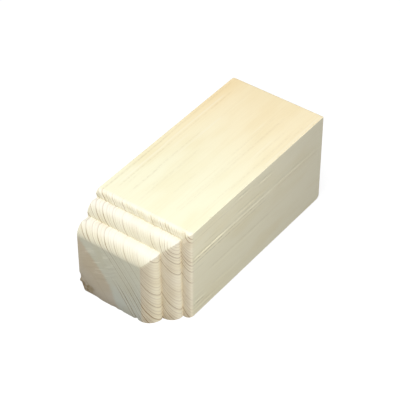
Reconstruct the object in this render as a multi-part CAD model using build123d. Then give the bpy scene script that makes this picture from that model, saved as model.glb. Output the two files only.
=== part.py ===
from build123d import *
import os

# Cornice corner block: one length of pale softwood, a little wider than it is high.
# It lies on one plain long face. X runs across it, Y along the grain and Z up.
# The near end (-Y) is moulded on its top and right edges only, and the two runs
# meet in a mitre. The left face, the bottom and the far end are plain.
# The origin is the middle of the footprint. All sizes are in millimetres.

# Blank
block_width = 70.0
block_height = 67.0
block_length = 160.0

# Rounding of the far end's four edges
far_bottom_radius = 4.0
far_left_radius = 2.5
far_top_radius = 1.0
far_right_radius = 1.0

# Moulding of the near end, from the front face back to the long face: a nose, an
# ovolo and a small bead. Each is a quarter round that starts square to the grain
# and ends along it, so that sharp inner corners part them. A quirk is the narrow
# flat beside a round: behind the nose along the grain, and below the bead across it.
nose_radius = 9.2
nose_quirk = 1.2
ovolo_radius = 8.8
bead_quirk = 1.3
bead_radius = 3.4

# Corner lost from the front, at the bottom left: how far the break reaches each way
break_up = 9.0
break_across = 4.0
break_back = 6.0

# How far the cutters reach beyond the wood
cutter_margin = 5.0

moulding_depth = nose_radius + nose_quirk + ovolo_radius + bead_radius
moulding_inset = nose_radius + ovolo_radius + bead_quirk + bead_radius

left = -block_width / 2
right = block_width / 2
front = -block_length / 2
middle = block_height / 2
top = block_height


def end_rounded_outline(across, low_radius, high_radius):
    """The blank's outline, grain along the first axis, with its two far corners rounded."""
    outline = Rectangle(block_length, across)
    low_corner = outline.vertices().group_by(Axis.X)[-1].sort_by(Axis.Y)[0]
    outline = fillet(low_corner, low_radius)
    high_corner = outline.vertices().group_by(Axis.Y)[-1].sort_by(Axis.X)[-1]
    return fillet(high_corner, high_radius)


def blank():
    """The length of wood: what its side view and its plan have in common."""
    side_plane = Plane(origin=(0, 0, middle), x_dir=(0, 1, 0), z_dir=(1, 0, 0))
    side_view = side_plane * end_rounded_outline(block_height, far_bottom_radius, far_top_radius)
    plan_plane = Plane(origin=(0, 0, 0), x_dir=(0, 1, 0), z_dir=(0, 0, 1))
    plan_view = plan_plane * end_rounded_outline(block_width, far_right_radius, far_left_radius)
    return extrude(side_view, block_width / 2, both=True) & extrude(plan_view, block_height)


def quarter_round(start, radius):
    """A round from facing the front to facing the side, starting at the given point."""
    return CenterArc(start + Vector(radius, 0), radius, 180, 90)


def cutter_section(plane):
    """The waste that the cutter takes off an edge. First axis: depth from the front
    face. Second axis: inset from the long face."""
    with BuildSketch(plane) as section:
        with BuildLine():
            nose = quarter_round(Vector(0, moulding_inset), nose_radius)
            ovolo_start = nose @ 1 + Vector(nose_quirk, 0)
            Line(nose @ 1, ovolo_start)
            ovolo = quarter_round(ovolo_start, ovolo_radius)
            bead_start = ovolo @ 1 - Vector(0, bead_quirk)
            Line(ovolo @ 1, bead_start)
            bead = quarter_round(bead_start, bead_radius)
            Polyline(
                bead @ 1,
                (moulding_depth, -cutter_margin),
                (-cutter_margin, -cutter_margin),
                (-cutter_margin, moulding_inset),
                nose @ 0,
            )
        make_face()
    return section.sketch


def top_pass():
    """The cutter run along the top front edge, from side to side."""
    edge = Plane(origin=(0, front, top), x_dir=(0, 1, 0), z_dir=(-1, 0, 0))
    return extrude(cutter_section(edge), block_width / 2 + cutter_margin, both=True)


def right_pass():
    """The same cutter run along the right front edge, from bottom to top."""
    edge = Plane(origin=(right, front, middle), x_dir=(0, 1, 0), z_dir=(0, 0, 1))
    return extrude(cutter_section(edge), block_height / 2 + cutter_margin, both=True)


def break_corner(block):
    """Takes off the lost front corner with one sloping face through its three ends."""
    up_end = Vector(left, front, break_up)
    across_end = Vector(left + break_across, front, 0)
    back_end = Vector(left, front + break_back, 0)
    inward = (across_end - up_end).cross(back_end - up_end)
    return split(block, bisect_by=Plane(origin=up_end, z_dir=inward), keep=Keep.TOP)


def corner_block():
    """The whole block: the mitre forms by itself where the two cutter passes meet."""
    return break_corner(blank() - top_pass() - right_pass())


os.makedirs("parts", exist_ok=True)
part = corner_block()
export_step(part, "parts/corner_block.step")
size = part.bounding_box().size
print(f"corner_block {size.X:.1f} x {size.Y:.1f} x {size.Z:.1f} mm, {part.volume / 1000:.1f} cm3")
print(f"moulding {moulding_depth:.1f} mm deep, {moulding_inset:.1f} mm in from the faces")
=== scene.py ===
# %% [markdown]
# # A cornice corner block in pale softwood
# The block is one short length of softwood, nearly square. A moulding cutter was run along the top and the
# right edge of one end, and where the two runs meet they form a mitre by themselves. Nothing is painted, so
# all that the eye sees is wood: growth rings, freshly cut end grain, planed long faces and a broken corner.
# The solid from the CAD step has the true sizes. This lesson makes the same form again as one fine surface,
# so that torn fibres, chips and the break can be real geometry, and gives it a wood worked out in three
# dimensions, as in a real log.

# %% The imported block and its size
import math

import bpy
import numpy as np
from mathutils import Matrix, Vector


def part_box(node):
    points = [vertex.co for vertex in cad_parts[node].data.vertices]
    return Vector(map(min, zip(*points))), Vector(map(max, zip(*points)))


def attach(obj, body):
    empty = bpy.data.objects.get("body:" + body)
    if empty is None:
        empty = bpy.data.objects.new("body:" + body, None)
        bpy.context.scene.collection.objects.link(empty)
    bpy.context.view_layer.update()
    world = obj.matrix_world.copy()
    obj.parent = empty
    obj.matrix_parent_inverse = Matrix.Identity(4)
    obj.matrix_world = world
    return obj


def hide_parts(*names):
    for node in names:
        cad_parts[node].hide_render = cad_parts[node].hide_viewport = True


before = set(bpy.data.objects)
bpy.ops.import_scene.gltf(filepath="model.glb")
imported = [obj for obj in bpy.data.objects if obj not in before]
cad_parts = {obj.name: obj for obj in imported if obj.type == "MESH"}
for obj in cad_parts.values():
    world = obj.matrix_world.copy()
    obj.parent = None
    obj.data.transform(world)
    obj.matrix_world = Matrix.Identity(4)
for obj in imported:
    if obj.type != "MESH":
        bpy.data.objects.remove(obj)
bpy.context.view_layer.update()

# Lengths in this lesson are in millimetres. MM turns them into metres for Blender.
MM = 0.001
low_corner, high_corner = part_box("corner_block")
left, front, bottom = [value / MM for value in low_corner]
right, far, top = [value / MM for value in high_corner]
block_width = right - left
block_length = far - front
print(f"block {block_width:.1f} wide, {top - bottom:.1f} high, {block_length:.1f} long")

# %% [markdown]
# ## The section of the moulding
# The cutter leaves three members, from the front face back to the long face: a nose, an ovolo and a bead.
# Each is a quarter round that starts square to the grain and ends along it. Two narrow flats, called quirks,
# part them. The section is a list of depths and insets, which serves the top run and the right run.

# %% Depth and inset along the section
nose_radius = 9.2
nose_quirk = 1.2
ovolo_radius = 8.8
bead_quirk = 1.3
bead_radius = 3.4
row_gap = 0.4

# The bead's quirk leans back a hair, so that no two rows of points fall together on the plain sides.
quirk_lean = 0.04

# How far the middle of the nose lies inside the true quarter round, sanded flatter.
nose_flattening = 0.3

# The crests of the nose and the ovolo are sanded round towards the quirks: how far they fall there, over what
# length, and how far up the ovolo's foot is drawn along.
crest_fall = 0.45
nose_fall_length = 2.8
ovolo_fall_length = 3.0
foot_length = 1.5


def quarter_round(depth, inset, radius, flattening=0.0):
    """Points on a quarter round that starts facing the front. After a turn a, the depth has grown by the
    radius times (1 - cos a), and the inset has shrunk by the radius times sin a. Flattening draws the
    radius in by its own size times sin 2a."""
    turn = np.linspace(0, np.pi / 2, 1 + round(radius * np.pi / 2 / row_gap))
    reach = radius - flattening * np.sin(2 * turn)
    return np.column_stack([depth + radius - reach * np.cos(turn), inset - reach * np.sin(turn)])


def sand_the_crest(points, foot_depth, length):
    """The points with the crest before a quirk sanded down: the inset grows by the crest's fall times the
    square of the share of the length that has been gone on the way to the quirk's foot."""
    gone = np.clip((points[:, 0] - foot_depth) / length + 1, 0, 1)
    return points + np.column_stack([np.zeros(len(points)), crest_fall * gone**2])


def between(start, end, count):
    """Evenly spaced points between two points of the section, without the two ends."""
    share = np.linspace(0, 1, count + 2)[1:-1, None]
    return start + (end - start) * share


moulding_inset = nose_radius + ovolo_radius + bead_quirk + bead_radius
nose = quarter_round(0, moulding_inset, nose_radius, nose_flattening)
ovolo = quarter_round(nose_radius + nose_quirk, moulding_inset - nose_radius, ovolo_radius)
bead = quarter_round(ovolo[-1, 0] + quirk_lean, bead_radius, bead_radius)
foot_rise = ovolo[0, 1] - ovolo[:, 1]
nose = sand_the_crest(nose, ovolo[0, 0], nose_fall_length)
ovolo = sand_the_crest(ovolo, ovolo[-1, 0], ovolo_fall_length)
ovolo[:, 1] += np.interp(foot_rise, [0, foot_length], [crest_fall, 0])
valley = between(nose[-1], ovolo[0], 2)
step = between(ovolo[-1], bead[0], 3)
section = np.vstack([nose, valley, ovolo, step, bead])
moulding_depth = section[-1, 0]
print(f"section: {len(section)} points, {moulding_depth:.1f} deep, {moulding_inset:.1f} in from the faces")

# %% [markdown]
# ## The block as one closed surface
# The whole block is a grid. One way goes round the block: bottom, right, top, left. The other way goes from
# the middle of the front face out to its rim, back along the moulding and the body, and in again to the
# middle of the far end. Every row is a rectangle with slightly eased corners, drawn in by its own inset on
# each of the four sides.

# %% Rows of the grid, from the middle of the front face to the middle of the far end
far_bottom_radius = 4.0
far_left_radius = 2.5
far_top_radius = 1.0
far_right_radius = 1.0
front_ease = 0.3
arris_ease = 0.3
body_row_gap = 3.6


def drawn_in(into, radius):
    """How far a quarter round lies inside its face, for a distance into the round from 0 to its radius."""
    into = np.clip(into, 0, radius)
    return radius - np.sqrt(radius**2 - into**2)


behind_cut = moulding_depth + np.array([0.15, 0.4, 0.9, 1.8])
straight = np.linspace(behind_cut[-1], block_length - far_bottom_radius, round(130 / body_row_gap))[1:]
rounding = far_bottom_radius * np.sin(np.linspace(0, np.pi / 2, 13)[1:])
depth = np.concatenate([section[:, 0], behind_cut, straight, block_length - far_bottom_radius + rounding])
cut_inset = np.concatenate([section[:, 1], np.zeros(len(depth) - len(section))])


def end_inset(radius):
    """The inset of one side along the block where the far end is rounded to the given radius."""
    return drawn_in(depth - (block_length - radius), radius)


plain_front = drawn_in(front_ease - depth, front_ease)
side_insets = np.column_stack(
    [
        plain_front + end_inset(far_bottom_radius),
        cut_inset + end_inset(far_right_radius),
        cut_inset + end_inset(far_top_radius),
        plain_front + end_inset(far_left_radius),
    ]
)
print(f"{len(depth)} rows from rim to rim")


# %% Rows of the two end faces
# Distances from the rim inwards, close together at the rim, where the wood is chipped.
cap_steps = np.array([0.35, 0.8, 1.3, 1.9, 2.6, 3.4, 4.3, 5.4, 6.8, 8.6, 10.8, 13.4, 16.3, 19.3, 22.0])
cap_half = 23.65
cap_share = cap_steps / cap_half


def end_rows(rim_insets):
    """Rows that shrink an end's rim towards the middle of its face. At share s of the way, each inset has
    grown by s times half the face's span: the block's span less the insets of both sides."""
    block_spans = np.array([top - bottom, block_width, top - bottom, block_width])
    face_spans = block_spans - rim_insets - rim_insets[[2, 3, 0, 1]]
    return rim_insets + face_spans / 2 * cap_share[:, None]


front_rows = end_rows(side_insets[0])[::-1]
far_rows = end_rows(side_insets[-1])
insets = np.vstack([front_rows, side_insets, far_rows])
row_depth = np.concatenate([np.zeros(len(front_rows)), depth, np.full(len(far_rows), block_length)])
row_ease = arris_ease * np.concatenate([1 - cap_share[::-1], np.ones(len(depth)), 1 - cap_share])
first_cut_row = len(front_rows)
last_cut_row = first_cut_row + len(section) - 1
print(f"{len(row_depth)} rows in all")

# %% Points round the block
# The two moulded sides get close, even points, closest on the right, where the planed face has lifted fibres.
# The two plain sides get close points only near the broken corner, which lies between the left side's end
# and the bottom side's start.
fine_gap = 0.47
finest_gap = 0.33
coarse_gap = 1.5
broken_reach = 12.0
arc_points = 5


def side_shares():
    """Where the points lie along the bottom, right, top and left sides, as shares of each side."""
    even = np.arange(fine_gap, block_width - fine_gap / 2, fine_gap) / block_width
    dense = np.arange(finest_gap, block_width - finest_gap / 2, finest_gap) / block_width
    close = np.arange(fine_gap, broken_reach, fine_gap)
    wide = np.arange(broken_reach, block_width - coarse_gap / 3, coarse_gap)
    crowded = np.concatenate([close, wide, [block_width - fine_gap]]) / block_width
    return [crowded, dense, even, 1 - crowded[::-1]]


def round_the_block():
    """For each point round the block, its place on the unit square and the way it faces. Corner arcs stand
    on one corner of the square and turn through a right angle."""
    corners = np.array([(0, 0), (1, 0), (1, 1), (0, 1)], float)
    place = []
    facing = []
    for side, shares in enumerate(side_shares()):
        start = corners[side]
        end = corners[(side + 1) % 4]
        place.append(start + (end - start) * shares[:, None])
        angle = np.full(len(shares), math.radians(90 * side - 90))
        turn = angle[0] + np.linspace(0, np.pi / 2, arc_points)
        place.append(np.tile(end, (arc_points, 1)))
        angle = np.concatenate([angle, turn])
        facing.append(np.column_stack([np.cos(angle), np.sin(angle)]))
    return np.vstack(place), np.vstack(facing)


place, facing = round_the_block()

# %% The two runs side by side
# It looks as if the cutter's second pass was set a little differently. On the right run the nose's crest and
# the ovolo lie further in and further forward, more so towards the mitre, and on the top run the bead lies
# further back.
set_in_low = 0.09
set_in_high = 0.66
forward_for_in = 0.9
bead_setback = 0.5
mitre_blend = 4.0
body_blend = 4.0
left_blend = 8.0


def fades(value, start, end):
    """1 at the start value, 0 at the end value and beyond, smooth in between."""
    share = np.clip((value - start) / (end - start), 0, 1)
    return 1 - share * share * (3 - 2 * share)


def all_rows(values):
    """One value for each row of the grid, nothing on the two end faces."""
    return np.concatenate([np.zeros(len(front_rows)), values, np.zeros(len(far_rows))])[:, None]


up_the_nose = (moulding_inset - cut_inset) / nose_radius
set_in_share = all_rows(np.clip(np.minimum(up_the_nose, cut_inset / bead_radius), 0, 1))
setback_share = all_rows(fades(depth, moulding_depth, moulding_depth + body_blend) * (depth >= bead[0, 0]))


def block_grid():
    """The grid of points, row by row: each row's rectangle is the block's less its four insets, and a point
    is the inner rectangle's point at its place plus the easing radius along the way it faces. The right run
    is set in and forward by an amount that grows evenly with the height, the top's bead is set back, and
    both moves fade into each other at the mitre."""
    ease = row_ease[:, None]
    z_low = bottom + insets[:, 0:1] + ease
    z_high = top - insets[:, 2:3] - ease
    z = z_low + (z_high - z_low) * place[:, 1] + ease * facing[:, 1]
    set_in = set_in_low + (set_in_high - set_in_low) * (z - bottom) / (top - moulding_inset - bottom)
    x_low = left + insets[:, 3:4] + ease
    x_high = right - insets[:, 1:2] - ease - set_in * set_in_share
    x = x_low + (x_high - x_low) * place[:, 0] + ease * facing[:, 0]
    top_share = fades(z_high - z, 0.0, mitre_blend)
    right_share = (1 + fades(x_high - x, 0.0, mitre_blend) - top_share) / 2
    setback = bead_setback * setback_share * top_share * (1 - fades(x - left, 0.0, left_blend))
    forward = forward_for_in * set_in * set_in_share * right_share
    return np.stack([x, front + row_depth[:, None] + setback - forward, z], axis=2)


grid = block_grid()
print(f"grid {grid.shape[0]} by {grid.shape[1]}, about {2 * grid.shape[0] * grid.shape[1]} triangles")

# %% [markdown]
# ## Growth rings
# The tree's pith ran along the block's length, well outside it, below and to the left. So each growth ring
# is a wide arc across the end grain and a straight line along the long faces. A ring is told by its distance
# from the pith, and the same list serves twice: for the fine ridges on the freshly cut moulding, and for the
# colour of the wood. A ring texture node would repeat evenly, and no tree does that, so the rings are a list
# read off the end of the block: how far out each ends, how dark its late wood is, and how wide that is.

# %% The rings of this piece of wood
pith_x = left - 200.1
pith_z = bottom - 152.4

# Distance of the ring count's start from the pith, about where the block's bottom left arris lies.
ring_start = 251.52

# End of the ring outwards from that start, tone of its late wood, width of that, light line behind it.
rings = [
    (20, 0.1, 1.2, 0),
    (35.1, 1, 0.9, 0),
    (37.4, 1, 0.8, 0.4),
    (40.8, 0.6, 0.7, 0.1),
    (43.9, 1, 0.9, 0.4),
    (45.6, 0.5, 0.6, 0.3),
    (47.6, 1, 0.9, 0.4),
    (49.6, 0.6, 0.7, 0.2),
    (50.8, 0.4, 0.5, 0.2),
    (52.8, 0.7, 0.7, 0.2),
    (54.1, 0.3, 0.6, 0.1),
    (56.3, 0.3, 0.6, 0.2),
    (58.2, 0.75, 0.8, 0.3),
    (60.5, 0.2, 0.5, 0.1),
    (61.7, 0.3, 0.5, 0.15),
    (63.5, 0.4, 0.6, 0.15),
    (64.7, 0.3, 0.5, 0.1),
    (65.9, 0.4, 0.6, 0.2),
    (69.9, 0.12, 0.6, 0),
    (73.7, 0.8, 0.8, 0.15),
    (75.3, 0.3, 0.6, 0.15),
    (78.6, 0.75, 0.8, 0.3),
    (80.1, 0.35, 0.6, 0.1),
    (81.4, 0.8, 0.7, 0.4),
    (83.1, 0.8, 0.7, 0.4),
    (84.8, 0.35, 0.6, 0.3),
    (86.3, 0.3, 0.5, 0.1),
    (87.4, 0.25, 0.5, 0.1),
    (90.9, 0.35, 0.5, 0.1),
    (92.4, 0.9, 0.7, 0.3),
    (94.2, 0.85, 0.7, 0.1),
]


def ring_place(points):
    """Distance outwards across the rings: the distance from the pith line less the count's start."""
    return np.hypot(points[..., 0] - pith_x, points[..., 2] - pith_z) - ring_start


outermost = ring_place(np.array([right, 0.0, top]))
print(f"{len(rings)} rings; the block reaches {outermost:.1f} mm out")

# %% [markdown]
# ## Torn fibres, ridges and chips
# A cutter that crosses the grain tears the soft early wood and leaves the hard late wood standing, so the cut
# faces have fine ridges along the rings, and the quirks have a ragged, fuzzy edge. At the left, where the
# cutter left the wood, small pieces broke away. All of these move points inwards only, so that the block
# keeps its size.

# %% Which points lie on which run of the moulding
mostly = 0.7
rows = np.arange(grid.shape[0])[:, None]
in_cut = (rows >= first_cut_row) & (rows <= last_cut_row)
faces_up = facing[:, 1] > mostly
faces_right = facing[:, 0] > mostly
on_top_run = in_cut & faces_up
on_right_run = in_cut & faces_right & ~on_top_run
cut_depth = np.broadcast_to(row_depth[:, None], grid.shape[:2])
print(f"{on_top_run.sum()} points on the top run, {on_right_run.sum()} on the right run")


# %% Helpers for worn edges
def ragged(along, gap, seed):
    """Random heights from 0 to 1 at even gaps along an edge, joined by straight runs."""
    knots = np.arange(-gap, 200.0, gap)
    heights = np.random.default_rng(seed).random(len(knots))
    return np.interp(along, knots, heights)


def outward_normals(points):
    """Unit normals of the grid: the way along the rows crossed with the way round the block."""
    along = np.gradient(points, axis=0)
    wrapped = np.concatenate([points[:, -1:], points, points[:, :1]], axis=1)
    around = np.gradient(wrapped, axis=1)[:, 1:-1]
    normal = np.cross(along, around)
    length = np.linalg.norm(normal, axis=2, keepdims=True)
    return normal / np.maximum(length, 1e-9)


# %% Ridges of late wood on the cut faces
ridge_depth = 0.04
ridge_width = 0.55
share_along_grain = 0.35


def ring_hollows(points):
    """How deep the early wood lies below the late wood: nothing on a ring's line, rising with the distance
    from the nearest line, and more where that line is dark."""
    across = ring_place(points)
    standing = np.zeros(across.shape)
    for end, tone, width, light in rings:
        bell = np.exp(-(((across - end + width / 2) / ridge_width) ** 2))
        standing = np.maximum(standing, tone * bell)
    return ridge_depth * (1 - standing)


def cut_the_ridges(points):
    """Moves the cut faces inwards by the hollows of the early wood, least where they run along the grain."""
    normal = outward_normals(points)
    share = share_along_grain + (1 - share_along_grain) * np.abs(normal[..., 1:2])
    cut = (on_top_run | on_right_run)[..., None]
    return points - normal * ring_hollows(points)[..., None] * share * cut


# %% Ragged quirks
bead_tear = 0.30
ovolo_tear = 0.22
ovolo_nibble = 0.25
nose_nibble = 0.15
nibble_length = 1.6


def behind_edge(edge, start, end):
    """1 at the start depth, fading to 0 at the end depth, and 0 before the edge's depth."""
    return fades(cut_depth, start, end) * (cut_depth >= edge)


def before_edge(edge):
    """Growing from 0 to 1 over the nibbled length before the edge's depth, and 0 behind it."""
    return (1 - fades(cut_depth, edge - nibble_length, edge)) * (cut_depth <= edge)


def tear_the_quirks(points):
    """Behind each quirk the points move back along the grain by a ragged amount that fades over the bead or
    the ovolo, and the crests before both quirks are nibbled. The raggedness is read across the rings, because
    fibres tear along them. The amount for the bead is handed back too."""
    along = ring_place(points)
    fine = ragged(along, 0.9, 11) * ragged(along, 3.1, 12)
    other = ragged(along, 1.3, 13) * ragged(along, 4.3, 14)
    share = np.where(on_top_run, 1.0, 0.5)
    nose_end, ovolo_start, ovolo_end = nose[-1, 0], ovolo[0, 0], ovolo[-1, 0]
    bead_start, bead_end = bead[0, 0], bead[-1, 0]
    torn = fine * behind_edge(ovolo_end, bead_start + 0.5, bead_end) * on_top_run
    back = bead_tear * fine * behind_edge(ovolo_end, bead_start, bead_end)
    back = back + ovolo_tear * other * behind_edge(nose_end, ovolo_start, ovolo_start + 3)
    crest = ovolo_nibble * other * before_edge(ovolo_end) + nose_nibble * fine * before_edge(nose_end)
    points = points.copy()
    points[..., 1] += back * share * (on_top_run | on_right_run)
    points[..., 2] -= crest * share * on_top_run
    points[..., 0] -= crest * share * on_right_run
    return points, torn


# %% Small chips
# Pieces broke away at the left and along the bottom of the front. Each chip has a middle, a reach, and a
# pull along X, Y and Z.
chips = [
    ((left, front + nose[-1, 0] - 0.8, top - nose[-1, 1]), 3.4, (0.6, 0.2, -0.6)),
    ((left, front + ovolo[-1, 0] - 0.8, top - ovolo[-1, 1]), 3.0, (0.5, 0.2, -0.4)),
    ((left, front, bottom + 11.5), 3.4, (0.6, 0.3, 0)),
    ((left + 1.5, front, bottom + 4.8), 2.8, (0.9, 0.4, 0)),
    ((left + 8.5, front, bottom), 9.5, (0, 0.2, 0.7)),
    ((left + 27.2, front, bottom), 2.4, (0, 0.2, 0.2)),
    ((left + 32.1, front, bottom), 2.0, (0, 0.2, 0.15)),
    ((left + 44.1, front, bottom), 1.5, (0, 0.7, 0.9)),
]
full_pull = 0.35


def chip_the_edges(points):
    """Moves points along each chip's pull: fully near its middle, and not at all beyond its reach."""
    for centre, reach, pull in chips:
        away = np.linalg.norm(points - np.array(centre), axis=2)
        weight = fades(away, full_pull * reach, reach)
        points = points + weight[..., None] * np.array(pull)
    return points


# %% The broken corner
break_up = 9.0
break_across = 4.0
break_back = 6.0
break_set_in = 0.25
break_bulge = 0.35
break_roughness = 0.5
splinter_height = 7.8
splinter_length = 2.2


def break_the_corner(points):
    """Lays every point beyond the broken face onto that face. The face is the plane through three points,
    one on each edge of the lost corner, set in and swollen in its middle by a hair, and roughened along the
    grain, with one splinter left standing."""
    up_end = np.array([left, front, bottom + break_up])
    across_end = np.array([left + break_across, front, bottom])
    back_end = np.array([left, front + break_back, bottom])
    outward = np.cross(back_end - up_end, across_end - up_end)
    outward = outward / np.linalg.norm(outward)
    beyond = (points - up_end) @ outward
    height = points[..., 2] - bottom
    swell = break_bulge * fades(np.abs(height - 0.35 * break_up), 0, 0.6 * break_up)
    rough = break_roughness * ragged(height + 3, 0.8, 21) * ragged(points[..., 1] - front + 3, 1.1, 22)
    splinter = splinter_length * fades(np.abs(height - splinter_height), 0.2, 0.8)
    splinter = splinter * fades(points[..., 1] - front, 0.8, 2.5)
    excess = np.clip(beyond + break_set_in - swell + rough - splinter, 0, None)
    return points - excess[..., None] * outward, excess


# %% [markdown]
# ## Streaks on the long faces
# A planed face shows a ring only here and there, as a broken dark line or a light one. On the top each streak
# is only a colour. On the right face the plane has lifted the fibres along the rings, so that each dark line
# has a small ledge below it, which catches the light from above. The ledges are real geometry.

# %% Streaks of the top face
# How far from the left each streak lies, from where to where it runs along the block, and how strong it is.
# Dark ones count as positive, light ones as negative.
top_streaks = [
    (2.9, -58, 4, 0.6),
    (2.2, 4, 74, 0.35),
    (5.1, -58, -28, -0.2),
    (7, -46, -2, -0.4),
    (6.4, -2, 60, -0.35),
    (8.7, -48, 0, 0.45),
    (8.3, 0, 66, 0.3),
    (11.1, -46, -34, 0.3),
    (12.1, -2, 14, -0.2),
    (17.4, -47, -22, 0.5),
    (16.8, -22, 20, 0.35),
    (18.4, -4, 40, -0.25),
    (24.4, -44, -26, 0.2),
    (26.5, -52, 6, 0.28),
    (38.8, -34, -14, 0.22),
    (45.8, 15, 58, 0.25),
    (43.9, 38, 52, -0.2),
    (49.1, -46, 38, 0.18),
    (51.4, -46, 8, 0.25),
    (51.2, 8, 62, 0.35),
    (57.4, 20, 42, -0.2),
    (59.2, 20, 52, 0.22),
    (62.8, -36, -12, 0.25),
    (63.8, -12, 50, 0.35),
    (65.7, 50, 64, 0.3),
    (67.8, 18, 76, -0.25),
]
top_streak_width = 0.5

# %% Lifted fibres of the right face
# Height of the ledge, height of the dark line above it, from where to where they run along the block, depth
# of the ledge in millimetres, and strength of the dark line.
lifted_fibres = [
    (1.3, 2.7, -58, -36, 0.07, 0.55),
    (4.3, 5.8, -58, -36, 0.2, 0.3),
    (7.2, 8.7, -58, -45, 0.17, 1.2),
    (10.3, 11.8, -58, -46, 0.24, 0.1),
    (11.5, 13.2, -38, -24, 0.12, 0.25),
    (10.6, 12.2, -24, -4, 0.12, 0.1),
    (12.6, 14.1, -58, -47, 0.04, 0.4),
    (15.7, 17.2, -58, -47, 0.13, 0.1),
    (25.7, 27.6, -40, 22, 0.16, 0.35),
    (35.2, 36.7, -58, -47, 0.03, 0.35),
    (40.2, 41.8, -58, -18, 0.12, 1),
    (40.2, 41.6, -18, 18, 0.08, 0.6),
    (43.1, 44.5, -58, -24, 0.19, 1.3),
    (43.1, 44.5, -24, 16, 0.11, 0.75),
    (42.6, 43.9, 28, 74, 0.05, 0.5),
    (45.8, 47.1, -58, -47, 0.34, 0.3),
    (45.8, 47.1, -47, -24, 0.54, 0.2),
    (45.9, 47.5, -24, 20, 0.26, 0.45),
    (46, 47.5, 20, 74, 0.2, 0),
    (50.2, 51.9, -46, -34, 0.03, 0.6),
    (50.2, 51.9, -14, 10, 0.24, 0.45),
    (53.7, 55.2, -44, 6, 0.09, 0.05),
    (56.2, 57.7, 10, 22, 0.04, 0.4),
    (58.9, 60.4, -58, 0, 0.06, 0.35),
    (59.2, 60.9, 8, 22, 0.3, 0.45),
    (61.8, 63.1, -58, -24, 0.12, 0.05),
    (61.8, 63.1, -14, -2, 0.28, 0.75),
    (64.7, 65.9, -40, -2, 0.16, 0.05),
]
ledge_width = 0.35
dark_line_width = 0.42

behind_moulding = rows > last_cut_row
on_top_face = behind_moulding & (facing[:, 1] > 0.9)
on_right_face = behind_moulding & (facing[:, 0] > 0.9)


def run_between(along, start, end):
    """1 from the start to the end of a streak, with a soft beginning and a soft end."""
    return (1 - fades(along, start - 3, start + 3)) * fades(along, end - 3, end + 3)


def top_face_marks(points):
    """The sum of the top's streaks at each point: a bell across each streak, times its run."""
    across = points[..., 0] - left
    marks = np.zeros(across.shape)
    for place_across, start, end, strength in top_streaks:
        bell = np.exp(-(((across - place_across) / top_streak_width) ** 2))
        marks += strength * bell * run_between(points[..., 1], start, end)
    return marks * on_top_face


def fibre_ledges(points):
    """Depth and darkness of the lifted fibres. Going up the face, the surface steps in at each ledge and
    comes back evenly until it has passed the dark line by as much as the ledge lies below it. Both vary a
    little along the fibre, and the fibres sink slightly towards the far end."""
    along = points[..., 1]
    height = points[..., 2] - bottom + 0.01 * np.maximum(along + 10, 0)
    depth = np.zeros(along.shape)
    marks = np.zeros(along.shape)
    for seed, (ledge, dark, start, end, ledge_depth, darkness) in enumerate(lifted_fibres, start=31):
        run = run_between(along, start, end) * (0.7 + 0.6 * ragged(along + 80, 5.0, seed))
        step_in = np.clip((height - ledge) / ledge_width + 0.5, 0, 1)
        come_back = np.clip((2 * dark - ledge - height) / (2 * dark - 2 * ledge), 0, 1)
        depth += ledge_depth * step_in * come_back * run
        marks += darkness * np.exp(-(((height - dark) / dark_line_width) ** 2)) * run
    return depth * on_right_face, marks * on_right_face


# %% The worn grid
worn = cut_the_ridges(grid)
worn, torn = tear_the_quirks(worn)
worn = chip_the_edges(worn)
ledge_depths, dark_lines = fibre_ledges(grid)
worn[..., 0] -= ledge_depths
worn, broken = break_the_corner(worn)
worn = np.clip(worn, [left, front, bottom], [right, far, top])
print(f"largest move {np.abs(worn - grid).max():.2f} mm, {int((broken > 0).sum())} points on the break")


# %% The mesh
crease_angle = math.radians(50)


def add_object(name, data):
    """An object with the given data, put into the scene."""
    thing = bpy.data.objects.new(name, data)
    bpy.context.scene.collection.objects.link(thing)
    return thing


def close_the_grid(points):
    """Joins the grid into a closed skin: a four-sided face between neighbours, the last point of a row
    joined to its first, and a fan of triangles to one point in the middle of each end."""
    row_count, point_count = points.shape[:2]
    number = np.arange(row_count * point_count).reshape(row_count, point_count)
    turned = np.roll(number, -1, axis=1)
    quads = np.stack([number[:-1], number[1:], turned[1:], turned[:-1]], axis=2).reshape(-1, 4)
    front_pole = row_count * point_count
    far_pole = front_pole + 1
    front_fan = np.column_stack([np.full(point_count, front_pole), number[0], turned[0]])
    far_fan = np.column_stack([np.full(point_count, far_pole), turned[-1], number[-1]])
    poles = np.stack([points[0].mean(axis=0), points[-1].mean(axis=0)])
    vertices = np.vstack([points.reshape(-1, 3), poles]) * MM
    return vertices, quads.tolist() + front_fan.tolist() + far_fan.tolist()


vertices, faces = close_the_grid(worn)
block_mesh = bpy.data.meshes.new("moulded_block")
block_mesh.from_pydata(vertices.tolist(), [], faces)
block_mesh.validate()
block_mesh.shade_smooth()
block_mesh.set_sharp_from_angle(angle=crease_angle)
moulded_block = add_object("moulded_block", block_mesh)
triangle_count = sum(len(face) - 2 for face in faces)
print(f"moulded_block: {len(vertices)} points, {triangle_count} triangles")

# %% [markdown]
# ## What the wood needs to know about its surface
# Rings and fibres follow from a point's place in the block, but some things don't: where the cutter has
# passed, how squarely the surface cuts the grain, where the wood is broken, and where the moulding gets a
# painted highlight. They are kept with the mesh as one number for each point, which a material reads with an
# Attribute node.


# %% Notes on the surface, kept point by point
def note(name, values):
    """Keeps one number for each point of the mesh under the given name. The two poles get their end's."""
    values = np.concatenate([values.reshape(-1), [values[0, 0], values[-1, 0]]])
    attribute = block_mesh.attributes.new(name, "FLOAT", "POINT")
    attribute.data.foreach_set("value", values.astype(np.float32))
    print(f"{name}: mean {values.mean():.3f}")


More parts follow.
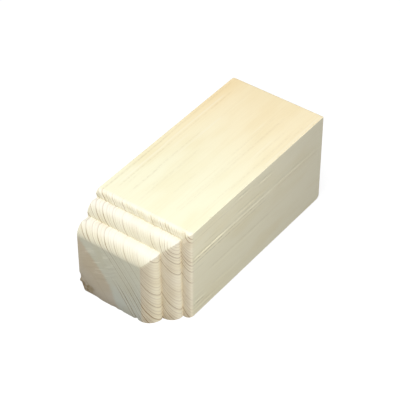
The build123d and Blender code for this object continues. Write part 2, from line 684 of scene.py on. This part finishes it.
worn_normal = outward_normals(worn)
row_path = np.concatenate([[0], np.cumsum(np.hypot(np.diff(row_depth), np.diff(insets[:, 2])))])
from_rim = (row_path - row_path[first_cut_row])[:, None]
starts = np.where(faces_up, 1 - fades(from_rim, -1.3, 2.2), 1 - fades(from_rim, 0.0, 1.05))
fresh = fades(cut_depth, moulding_depth - 1.6, moulding_depth + 1.2) * starts * (faces_up | faces_right)
below_mitre = top - insets[:, 2:3] - grid[..., 2]
# The top run, and the right run near the mitre at half strength, get a painted highlight: a paler, whiter
# colour where the light falls on the cut that faces up.
painted_highlight = np.where(on_top_run, 1.0, 0.5 * fades(below_mitre, 0.0, 3.0) * on_right_run)
note("moulded", fresh)
note("torn", torn)
note("end_grain", np.abs(worn_normal[..., 1]))
note("upward", np.clip(worn_normal[..., 2], 0, 1))
note("painted_highlight", painted_highlight)
note("broken", np.clip(broken / 0.4, 0, 1))
note("streak", top_face_marks(grid) + dark_lines)


# %% [markdown]
# ## A short way to write nodes
# A material is a graph of nodes. Each helper below adds nodes and hands back an output, so that a formula can
# be written almost as on paper. Colours are written as on a screen and turned into the light values that
# Blender mixes.


# %% Helpers for node graphs
def colour(red, green, blue):
    """Screen values as light values: a share c becomes ((c + 0.055) / 1.055) to the power 2.4."""
    shares = [value / 255 for value in (red, green, blue)]
    lights = [c / 12.92 if c <= 0.04045 else ((c + 0.055) / 1.055) ** 2.4 for c in shares]
    return (*lights, 1.0)


class Graph:
    """Adds nodes to one tree. A value handed to a method is either a socket, which gets linked, or a
    number, vector or colour, which is set."""

    def __init__(self, tree):
        self.tree = tree
        self.count = 0

    def add(self, kind, **settings):
        node = self.tree.nodes.new(kind)
        node.location = (200 * (self.count % 12), -220 * (self.count // 12))
        self.count += 1
        for name, value in settings.items():
            setattr(node, name, value)
        return node

    def feed(self, node, values):
        """Feeds a node's inputs, told by name or number, and hands back its outputs."""
        for key, value in values.items():
            if isinstance(value, bpy.types.NodeSocket):
                self.tree.links.new(value, node.inputs[key])
            else:
                node.inputs[key].default_value = value
        return node.outputs

    def result(self, kind, values, output=0, **settings):
        return self.feed(self.add(kind, **settings), values)[output]

    def math(self, operation, first, second=0.0, clamp=False):
        return self.result("ShaderNodeMath", {0: first, 1: second}, operation=operation, use_clamp=clamp)

    def plus(self, first, second, clamp=False):
        return self.math("ADD", first, second, clamp)

    def minus(self, first, second, clamp=False):
        return self.math("SUBTRACT", first, second, clamp)

    def times(self, first, second, clamp=False):
        return self.math("MULTIPLY", first, second, clamp)

    def larger(self, first, second):
        return self.math("MAXIMUM", first, second)

    def vector(self, operation, first, second):
        return self.result("ShaderNodeVectorMath", {0: first, 1: second}, operation=operation)

    def length(self, vector):
        return self.result("ShaderNodeVectorMath", {0: vector}, "Value", operation="LENGTH")

    def away(self, place, centre):
        """The distance of a place from a fixed centre."""
        return self.length(self.vector("SUBTRACT", place, centre))

    def split(self, value, kind="ShaderNodeSeparateXYZ"):
        return list(self.feed(self.add(kind), {0: value}))

    def join(self, x, y, z):
        return self.result("ShaderNodeCombineXYZ", {0: x, 1: y, 2: z})

    def noise(self, place, factors, detail=2.0):
        """Soft random values from 0 to 1 at a place times one factor for each axis."""
        scaled = self.vector("MULTIPLY", place, factors)
        values = {"Vector": scaled, "Scale": 1.0, "Detail": detail, "Roughness": 0.5}
        return self.result("ShaderNodeTexNoise", values)

    def rises(self, value, start, end):
        """0 at the start value, 1 at the end value, smooth in between."""
        values = {"Value": value, "From Min": start, "From Max": end}
        return self.result("ShaderNodeMapRange", values, interpolation_type="SMOOTHSTEP")

    def falls(self, value, start, end):
        """1 at the start value, 0 at the end value, smooth in between."""
        return self.minus(1.0, self.rises(value, start, end))

    def spread(self, value, low, high):
        """A value from 0 to 1 carried to the range from low to high."""
        return self.result("ShaderNodeMapRange", {"Value": value, "To Min": low, "To Max": high})

    def mix(self, share, first, second, blend="MIX"):
        values = {0: share, 6: first, 7: second}
        return self.result("ShaderNodeMix", values, 2, data_type="RGBA", blend_type=blend)

    def tinted(self, colour, tint, share):
        """The colour, multiplied by the tint where the share is 1."""
        return self.mix(share, colour, tint, "MULTIPLY")

    def noted(self, name):
        return self.add("ShaderNodeAttribute", attribute_name=name).outputs["Fac"]

    def group(self, group, place):
        return self.feed(self.add("ShaderNodeGroup", node_tree=group.tree), {"Place": place})


def new_group(name):
    """A node group that reads a place: its graph helper and that place."""
    tree = bpy.data.node_groups.new(name, "ShaderNodeTree")
    tree.interface.new_socket("Place", in_out="INPUT", socket_type="NodeSocketVector")
    graph = Graph(tree)
    return graph, graph.add("NodeGroupInput").outputs["Place"]


def hand_out(graph, results):
    """Gives a group one named output for each result."""
    for name in results:
        graph.tree.interface.new_socket(name, in_out="OUTPUT", socket_type="NodeSocketFloat")
    graph.feed(graph.add("NodeGroupOutput"), results)
    print(f"{graph.tree.name}: {len(graph.tree.nodes)} nodes")


# %% [markdown]
# ## The rings as a node group
# The group turns a place in the wood into a ring count. A curve leads from the distance across the rings to
# the count, with one straight piece for each ring. The part of the count after the decimal point is the time
# of year: it ends in the dark late wood. A constant colour ramp, read at the same count, holds each ring's
# tone, the share of its width that is late wood and the strength of the light line behind it.

# %% Growth rings
ring_low = -6.0
ring_high = 100.0
ring_stops = len(rings) + 1
widest_late_share = 0.6
light_line_end = 0.22
fine_line_gap = 1.3


def from_pith(graph, place):
    """How far a place lies from the pith line along X and along Z, and straight."""
    x, y, z = graph.split(place)
    reach_x = graph.minus(x, pith_x)
    reach_z = graph.minus(z, pith_z)
    return reach_x, reach_z, graph.length(graph.join(reach_x, 0.0, reach_z))


def ring_count_curve(graph, distance):
    """The share of all rings that lie below a distance: straight from each ring's end to the next one's."""
    node = graph.add("ShaderNodeFloatCurve")
    curve = node.mapping.curves[0]
    span = ring_high - ring_low
    for number, ring in enumerate(rings, start=1):
        curve.points.new((ring[0] - ring_low) / span, number / ring_stops)
    for point in curve.points:
        point.handle_type = "VECTOR"
    node.mapping.update()
    return graph.feed(node, {"Value": graph.math("DIVIDE", graph.minus(distance, ring_low), span)})[0]


def ring_facts_ramp(graph, share):
    """The tone, late wood share and light line of the ring that a count falls in, as red, green and blue."""
    node = graph.add("ShaderNodeValToRGB")
    node.color_ramp.interpolation = "CONSTANT"
    stops = node.color_ramp.elements
    stops.remove(stops[1])
    starts = [ring_low] + [ring[0] for ring in rings]
    for number, (end, tone, width, light) in enumerate(rings):
        stop = stops[0] if number == 0 else stops.new(number / ring_stops)
        stop.color = (tone, min(widest_late_share, width / (end - starts[number])), light, 1)
    stops.new(len(rings) / ring_stops).color = (0.4, 0.2, 0.0, 1)
    return graph.split(graph.feed(node, {0: share})[0], "ShaderNodeSeparateColor")


years, place_mm = new_group("growth_rings")
waves = years.noise(place_mm, (0.06, 0.009, 0.06), detail=1.0)
ripples = years.noise(place_mm, (0.35, 0.03, 0.35), detail=1.0)
distance = years.minus(from_pith(years, place_mm)[2], ring_start)
distance = years.plus(distance, years.spread(waves, -0.3, 0.3))
distance = years.plus(distance, years.spread(ripples, -0.15, 0.15))
ring_share = ring_count_curve(years, distance)
season = years.math("FRACT", years.times(ring_share, ring_stops))
tone, late_share, light_line = ring_facts_ramp(years, ring_share)
late_wood = years.rises(season, years.minus(1.0, late_share), 1.0)
fine_place = years.math("DIVIDE", distance, fine_line_gap)
fine_wave = years.math("SINE", years.times(fine_place, 2 * math.pi))
ring_results = {
    "Late wood": years.times(late_wood, tone),
    "Light line": years.times(years.falls(season, 0.0, light_line_end), light_line),
    "Fine lines": years.rises(fine_wave, 0.2, 1.0),
    "Distance": distance,
}
hand_out(years, ring_results)

# %% [markdown]
# ## Fibres as a node group
# Between the rings, wood is bundles of fibres along the block. Noise stretched along the grain gives streaks
# on the long faces and, cut across, the fine grain of the ends. A shorter one gives the dashes of resin
# canals. Ray flecks run out from the pith and show only on end grain.

# %% Fibres, dashes and rays
fibres, place_mm = new_group("wood_fibres")
reach_x, reach_z, ray_reach = from_pith(fibres, place_mm)
ray_angle = fibres.math("ARCTAN2", reach_z, reach_x)
ray_place = fibres.join(ray_angle, ray_reach, fibres.split(place_mm)[1])
fibre_results = {
    "Streaks": fibres.noise(place_mm, (0.55, 0.012, 0.55), detail=3.0),
    "Fine streaks": fibres.noise(place_mm, (2.4, 0.05, 2.4)),
    "Dashes": fibres.rises(fibres.noise(place_mm, (0.9, 0.45, 0.9), detail=1.0), 0.42, 0.58),
    "Rays": fibres.noise(ray_place, (420.0, 0.07, 0.5)),
    "Mottle": fibres.noise(place_mm, (0.07, 0.02, 0.07)),
}
hand_out(fibres, fibre_results)

# %% [markdown]
# ## The wood
# One material covers the whole block. The planed long faces are pale and a little grey, the end grain soaks
# up
# light and looks darker, and the fresh cut is the warmest. Some light and shade is painted into the colour
# too:
# the top and the long faces are paler near the front than towards the far end, as light that falls off along
# the block, their lower parts are darker as painted shade, on the sawn end together with some staining, and
# the top run of the moulding is paler as a painted highlight. The heartwood nearest the pith is reddish
# brown. On that ground lie the rings, the streaks and, at the broken corner, a dark stain.

# %% Colours of the wood
# The top's near colour is paler than its far one: painted light, as the stronger light near the front washes
# the wood out.
top_near = colour(247, 244, 214)
top_far = colour(251, 236, 198)
top_left_tint = colour(255, 250, 243)
# The long faces are painted lighter near the front and darker towards the far end, as light that falls off
# along the block.
side_near = colour(251, 245, 216)
side_far = colour(240, 234, 209)
# A grey tint for painted shade on the lower part of the long faces.
side_shade_tint = colour(246, 246, 246)
sawn_end = colour(213, 211, 190)
# The sawn end is painted darker and greyer towards the bottom: mostly shade, as less light reaches it there,
# with some staining.
sawn_end_low_shade_and_stain = colour(194, 196, 185)
fresh_cut = colour(251, 242, 214)
fresh_end = colour(213, 202, 178)
deep_cut = colour(252, 243, 217)
deep_end = colour(221, 210, 186)
# The top run of the moulding is painted paler and whiter than the right run: a painted highlight where the
# light falls on it.
highlight_cut = colour(241, 237, 224)
highlight_end = colour(236, 231, 207)
highlight_bead = colour(248, 243, 223)
# A grey tint for painted shade on the end grain next to the floor.
foot_shade_tint = colour(236, 233, 229)
late_wood_tint = colour(164, 134, 88)
heart_tint = colour(250, 237, 229)
mottle_tint = colour(252, 250, 245)
streak_tint = colour(240, 230, 212)
fine_tint = colour(238, 229, 213)
side_dark_tint = colour(198, 194, 184)
ray_tint = colour(228, 224, 216)
stain_tint = colour(198, 182, 158)
spot_tint = colour(230, 224, 208)
light_tint = colour(255, 250, 232)
torn_tint = colour(232, 227, 200)

# %% Where each kind of surface lies
pale_softwood = bpy.data.materials.new("pale_softwood")
pale_softwood.use_nodes = True
wood = Graph(pale_softwood.node_tree)
object_place = wood.add("ShaderNodeTexCoord").outputs["Object"]
place_mm = wood.vector("MULTIPLY", object_place, (1 / MM, 1 / MM, 1 / MM))
ring_out = wood.group(years, place_mm)
fibre_out = wood.group(fibres, place_mm)
across_x, along_y, height_z = wood.split(place_mm)
moulded = wood.noted("moulded")
end_grain = wood.noted("end_grain")
painted_highlight = wood.noted("painted_highlight")
streak = wood.noted("streak")
cut_across = wood.rises(end_grain, 0.4, 0.93)
on_top = wood.rises(wood.noted("upward"), 0.5, 0.9)

# %% The ground colour
# Painted light: the top and the long faces go from their paler near colours to their darker far ones, as
# light that falls off along the block, with a random mottle on top.
toward_far = wood.rises(along_y, front + 45.0, far - 5.0)
far_falloff_and_mottle = wood.plus(toward_far, wood.spread(fibre_out["Mottle"], -0.08, 0.08), clamp=True)
top_left = wood.falls(across_x, left + 1.0, left + 20.0)
top_left = wood.times(top_left, wood.rises(along_y, front + 30.0, front + 75.0))
top_colour = wood.tinted(wood.mix(far_falloff_and_mottle, top_near, top_far), top_left_tint, top_left)
# Painted shade: the long faces are darker below about 38 mm up, most near the front.
side_low_shade = wood.falls(height_z, bottom + 38.0, bottom + 47.0)
side_low_shade = wood.times(side_low_shade, wood.minus(1.0, toward_far))
side_colour = wood.tinted(wood.mix(far_falloff_and_mottle, side_near, side_far), side_shade_tint, side_low_shade)
long_colour = wood.mix(on_top, side_colour, top_colour)
# The sawn end is darker towards the bottom: painted shade with some staining.
end_colour = wood.mix(wood.rises(height_z, bottom - 6.0, bottom + 44.0), sawn_end_low_shade_and_stain, sawn_end)
plain_colour = wood.mix(cut_across, long_colour, end_colour)
deeper = wood.rises(along_y, front + nose_radius - 1.0, front + nose_radius + nose_quirk)
right_long = wood.mix(deeper, fresh_cut, deep_cut)
right_end = wood.mix(deeper, fresh_end, deep_end)
right_cut = wood.mix(wood.rises(end_grain, 0.25, 0.93), right_long, right_end)
on_bead = wood.rises(along_y, front + ovolo[-1, 0] - 0.5, front + moulding_depth)
# On the top run, and near the mitre, the moulding takes these paler colours of its painted highlight.
top_cut = wood.mix(on_bead, wood.mix(cut_across, highlight_cut, highlight_end), highlight_bead)
ground = wood.mix(moulded, plain_colour, wood.mix(painted_highlight, right_cut, top_cut))
# Painted shade: the end grain is darker in its lowest 8 mm, next to the floor.
foot_shade = wood.times(wood.falls(height_z, bottom, bottom + 8.0), cut_across)
ground = wood.tinted(ground, foot_shade_tint, foot_shade)

# %% Heartwood, mottling and streaks
streak_strength = 0.12
heart_edge = wood.plus(ring_out["Distance"], wood.spread(fibre_out["Rays"], -1.5, 1.5))
heart_end = wood.spread(wood.rises(height_z, bottom, bottom + 20.0), 25.2, 29.4)
ground = wood.tinted(ground, heart_tint, wood.falls(wood.minus(heart_edge, heart_end), -1.8, 1.2))
ground = wood.tinted(ground, mottle_tint, wood.rises(fibre_out["Mottle"], 0.4, 0.7))
streak_share = wood.times(wood.rises(fibre_out["Streaks"], 0.5, 0.75), streak_strength)
ground = wood.tinted(ground, streak_tint, streak_share)
fine_share = wood.times(wood.rises(fibre_out["Fine streaks"], 0.52, 0.72), streak_strength)
ground = wood.tinted(ground, fine_tint, fine_share)
dark_streak = wood.times(wood.larger(streak, 0.0), wood.spread(fibre_out["Dashes"], 0.35, 1.0))
dark_share = wood.times(dark_streak, wood.spread(on_top, 0.6, 0.38), clamp=True)
ground = wood.tinted(ground, wood.mix(on_top, side_dark_tint, late_wood_tint), dark_share)
ground = wood.mix(wood.larger(wood.times(streak, -1.0), 0.0), ground, light_tint)

# %% Rings on the ground colour
seen_long = 0.03
ring_strength = 0.9
fine_strength = 0.14
ray_strength = 0.15
low_down = wood.falls(height_z, bottom + 14.0, bottom + 28.0)
outer = wood.rises(ring_out["Distance"], 39.0, 43.0)
seen_end = wood.times(cut_across, wood.larger(low_down, outer))
seen_end = wood.times(seen_end, wood.spread(low_down, 0.62, 1.25))
# Where the moulding has its painted highlight, its rings are shown weaker on the crests, as if washed out by
# the light, and more so away from the left end.
crest_seen = wood.spread(wood.rises(across_x, left + 12.0, left + 30.0), 0.40, 0.10)
seen_top_run = wood.larger(cut_across, crest_seen)
seen_right_run = wood.spread(cut_across, 0.76, 1.12)
seen_cut = wood.plus(wood.minus(1.0, painted_highlight), seen_top_run)
seen_cut = wood.math("MINIMUM", seen_cut, seen_right_run)
seen = wood.larger(wood.larger(seen_long, seen_end), wood.times(moulded, seen_cut))
ring_seen = wood.times(wood.times(ring_out["Late wood"], seen), ring_strength)
ground = wood.tinted(ground, late_wood_tint, ring_seen)
fine_seen = wood.times(ring_out["Fine lines"], wood.times(moulded, fine_strength))
ground = wood.tinted(ground, late_wood_tint, wood.times(fine_seen, seen_cut))
light_seen = wood.times(ring_out["Light line"], wood.larger(moulded, seen_end))
ground = wood.mix(light_seen, ground, light_tint)
ray_share = wood.times(wood.rises(fibre_out["Rays"], 0.5, 0.75), cut_across)
ground = wood.tinted(ground, ray_tint, wood.times(ray_share, ray_strength))
torn_share = wood.times(wood.noted("torn"), wood.rises(fibre_out["Fine streaks"], 0.4, 0.6))
ground = wood.tinted(ground, torn_tint, torn_share)

# %% Saw marks on the front
# The saw left soft light and dark strokes in one patch of the sawn end. They are a noise drawn out along the
# saw's way, which rises to the right.
saw_rise = math.radians(27)
saw_dark_strength = 0.10
saw_light_strength = 0.22
along_saw = wood.times(across_x, math.cos(saw_rise))
along_saw = wood.plus(along_saw, wood.times(height_z, math.sin(saw_rise)))
across_saw = wood.times(height_z, math.cos(saw_rise))
across_saw = wood.minus(across_saw, wood.times(across_x, math.sin(saw_rise)))
saw_marks = wood.noise(wood.join(along_saw, 0.0, across_saw), (0.08, 1.0, 0.5), detail=1.0)
from_patch = wood.away(place_mm, (left + 16.0, front, bottom + 29.0))
saw_share = wood.times(wood.falls(from_patch, 9.0, 17.0), wood.minus(cut_across, moulded, clamp=True))
saw_dark = wood.times(saw_share, wood.falls(saw_marks, 0.34, 0.44))
saw_light = wood.times(saw_share, wood.rises(saw_marks, 0.57, 0.65))
ground = wood.tinted(ground, late_wood_tint, wood.times(saw_dark, saw_dark_strength))
ground = wood.mix(wood.times(saw_light, saw_light_strength), ground, light_tint)

# %% Stain at the broken corner
break_darkness = 0.3
near_corner = wood.falls(wood.away(place_mm, (left, front, bottom)), 3.0, 16.0)
blotches = wood.rises(wood.noise(place_mm, (0.42, 0.2, 0.42)), 0.38, 0.62)
patchy = wood.times(near_corner, wood.spread(blotches, 0.35, 1.35), clamp=True)
ground = wood.tinted(ground, stain_tint, patchy)
near_spot = wood.falls(wood.away(place_mm, (left + 8.0, front, bottom + 4.9)), 1.0, 4.6)
ground = wood.tinted(ground, spot_tint, near_spot)
ground = wood.tinted(ground, late_wood_tint, wood.times(wood.noted("broken"), break_darkness))

# %% [markdown]
# ## How the wood feels
# Bare softwood is matt, a little smoother on the hard late wood and rougher where the grain is cut across.
# The ridges of the cut are real geometry. The bump adds only what is finer than the mesh: the nap of the
# fibres and the sharp edge of each ring.

# %% Roughness and fine relief
plain_roughness = 0.62
roughness = wood.plus(plain_roughness, wood.times(cut_across, 0.12))
roughness = wood.minus(roughness, wood.times(ring_out["Late wood"], 0.10))
roughness = wood.plus(roughness, wood.spread(fibre_out["Fine streaks"], -0.06, 0.06))
relief = wood.times(fibre_out["Fine streaks"], 0.8)
relief = wood.plus(relief, wood.times(ring_out["Late wood"], wood.spread(moulded, 0.25, 0.9)))
relief = wood.plus(relief, wood.times(fibre_out["Rays"], wood.times(cut_across, 0.5)))
bump = {"Strength": 0.5, "Distance": 0.08 * MM, "Height": relief}
surface = {
    "Base Color": ground,
    "Roughness": roughness,
    "Specular IOR Level": 0.3,
    "Normal": wood.result("ShaderNodeBump", bump),
}
wood.feed(pale_softwood.node_tree.nodes["Principled BSDF"], surface)
block_mesh.materials.append(pale_softwood)
print(f"pale_softwood: {len(pale_softwood.node_tree.nodes)} nodes")

# %% The piece in the frame
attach(moulded_block, "root")
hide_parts("corner_block")

# %% [markdown]
# ## Floor and light
# The block lies on a pale floor under soft light: a wide lamp above and a little in front, a weaker one at
# the right, and an even sky. The floor and the sky look white to the camera by a small glow that only camera
# and mirror rays see, so the light on the block stays at a plain level and its shadow stays on the floor.


# %% Floor
def seen_directly(graph):
    """1 for rays that come from the camera, a mirror or glass, 0 for all others."""
    rays = graph.add("ShaderNodeLightPath").outputs
    direct = graph.larger(rays["Is Camera Ray"], rays["Is Glossy Ray"])
    return graph.larger(direct, rays["Is Transmission Ray"])


floor_half = 3.0
floor_drop = 0.0002
floor_glow = 0.78
floor_mesh = bpy.data.meshes.new("pale_floor")
floor_corners = [(-1, -1), (1, -1), (1, 1), (-1, 1)]
floor_points = [(x * floor_half, y * floor_half, -floor_drop) for x, y in floor_corners]
floor_mesh.from_pydata(floor_points, [], [(0, 1, 2, 3)])
pale_floor = add_object("pale_floor", floor_mesh)
floor_paint = bpy.data.materials.new("floor_paint")
floor_paint.use_nodes = True
floor_graph = Graph(floor_paint.node_tree)
direct = seen_directly(floor_graph)
floor_surface = {
    "Base Color": floor_graph.mix(direct, (0.2, 0.2, 0.2, 1), (0.34, 0.34, 0.34, 1)),
    "Roughness": 1.0,
    "Specular IOR Level": 0.0,
    "Emission Color": (1, 1, 1, 1),
    "Emission Strength": floor_graph.times(direct, floor_glow),
}
floor_graph.feed(floor_paint.node_tree.nodes["Principled BSDF"], floor_surface)
floor_mesh.materials.append(floor_paint)

# %% Sky
sky_level = 0.28
world = bpy.data.worlds.new("studio")
bpy.context.scene.world = world
world.use_nodes = True
sky = Graph(world.node_tree)
sky_light = {"Color": (1, 1, 1, 1), "Strength": sky.spread(seen_directly(sky), sky_level, 1.0)}
sky.feed(world.node_tree.nodes["Background"], sky_light)


# %% Lamps
def soft_lamp(name, place_m, aim_m, width, height, watts):
    """A rectangular lamp at a place, turned to face the aim."""
    data = bpy.data.lights.new(name, "AREA")
    data.shape = "RECTANGLE"
    data.size = width
    data.size_y = height
    data.energy = watts
    lamp = add_object(name, data)
    lamp.location = place_m
    lamp.rotation_euler = (Vector(aim_m) - Vector(place_m)).to_track_quat("-Z", "Y").to_euler()


block_middle = (low_corner + high_corner) / 2
soft_lamp("overhead_lamp", (0.0, -0.375, 0.93), block_middle, 0.8, 0.8, 7.1)
soft_lamp("side_lamp", (0.45, -0.35, 0.306), block_middle, 0.35, 0.35, 1.8)

# %% [markdown]
# ## Camera
# The picture was taken from the front right, well above the block, with a long lens from about a metre away.
# The block's middle stands a little right of the picture's middle and below it, so the camera is moved aside
# by that much. It is not turned or shifted for it, and the block keeps its true perspective.

# %% Camera
azimuth = math.radians(36.67)
elevation = math.radians(40.94)
camera_distance = 0.9895
middle_aside = 0.00228
middle_below = 0.00105
lens = 143.13
level = math.cos(elevation)
back = Vector((math.sin(azimuth) * level, -math.cos(azimuth) * level, math.sin(elevation)))
turn = (-back).to_track_quat("-Z", "Y")
camera_right = turn @ Vector((1, 0, 0))
camera_up = turn @ Vector((0, 1, 0))
camera_data = bpy.data.cameras.new("camera")
camera_data.sensor_width = 36.0
camera_data.lens = lens
camera_data.clip_start = 0.05
camera_data.clip_end = 20.0
camera = add_object("camera", camera_data)
camera.location = block_middle + back * camera_distance
camera.location += camera_up * middle_below - camera_right * middle_aside
camera.rotation_euler = turn.to_euler()
bpy.context.scene.camera = camera
bpy.context.scene.view_settings.view_transform = "Standard"
print(f"camera at {[round(value, 3) for value in camera.location]}")
